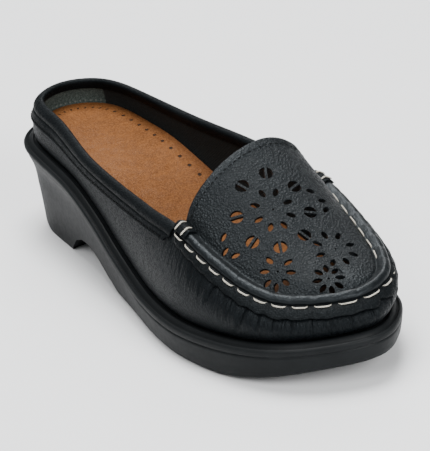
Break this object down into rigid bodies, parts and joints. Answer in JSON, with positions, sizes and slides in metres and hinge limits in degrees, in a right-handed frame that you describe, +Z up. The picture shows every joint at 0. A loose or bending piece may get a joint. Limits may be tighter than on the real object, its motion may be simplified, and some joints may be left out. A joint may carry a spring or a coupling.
{
  "type": "moccasin clog shoe",
  "caption": "Backed moccasin clog with a moulded wedge-heel unit sole, a perforated plug with a rolled hand-sewn seam and a bound collar; right shoe.",
  "frame": {"origin": "on the floor, under the middle of the part's box", "axes": "+Z up, -Y towards the toe, -X towards the lateral (outer) side of this right shoe"},
  "size_m": [0.0904, 0.245, 0.078],
  "materials": {
    "sole_rubber": "matte moulded black",
    "insole_leather": "tan, matte",
    "upper_leather": "black, satin",
    "plug_leather": "black, pebble grained, satin",
    "binding_leather": "black, satin",
    "lining": "black, matte",
    "thread_white": "waxed, off-white",
    "thread_dark": "waxed, black"
  },
  "bodies": {
    "root": {"outsole": "sole_rubber", "insole": "insole_leather", "upper": "upper_leather", "plug": "plug_leather", "collar": "binding_leather", "tab_lateral": "binding_leather", "tab_medial": "binding_leather"}
  },
  "joints": []
}
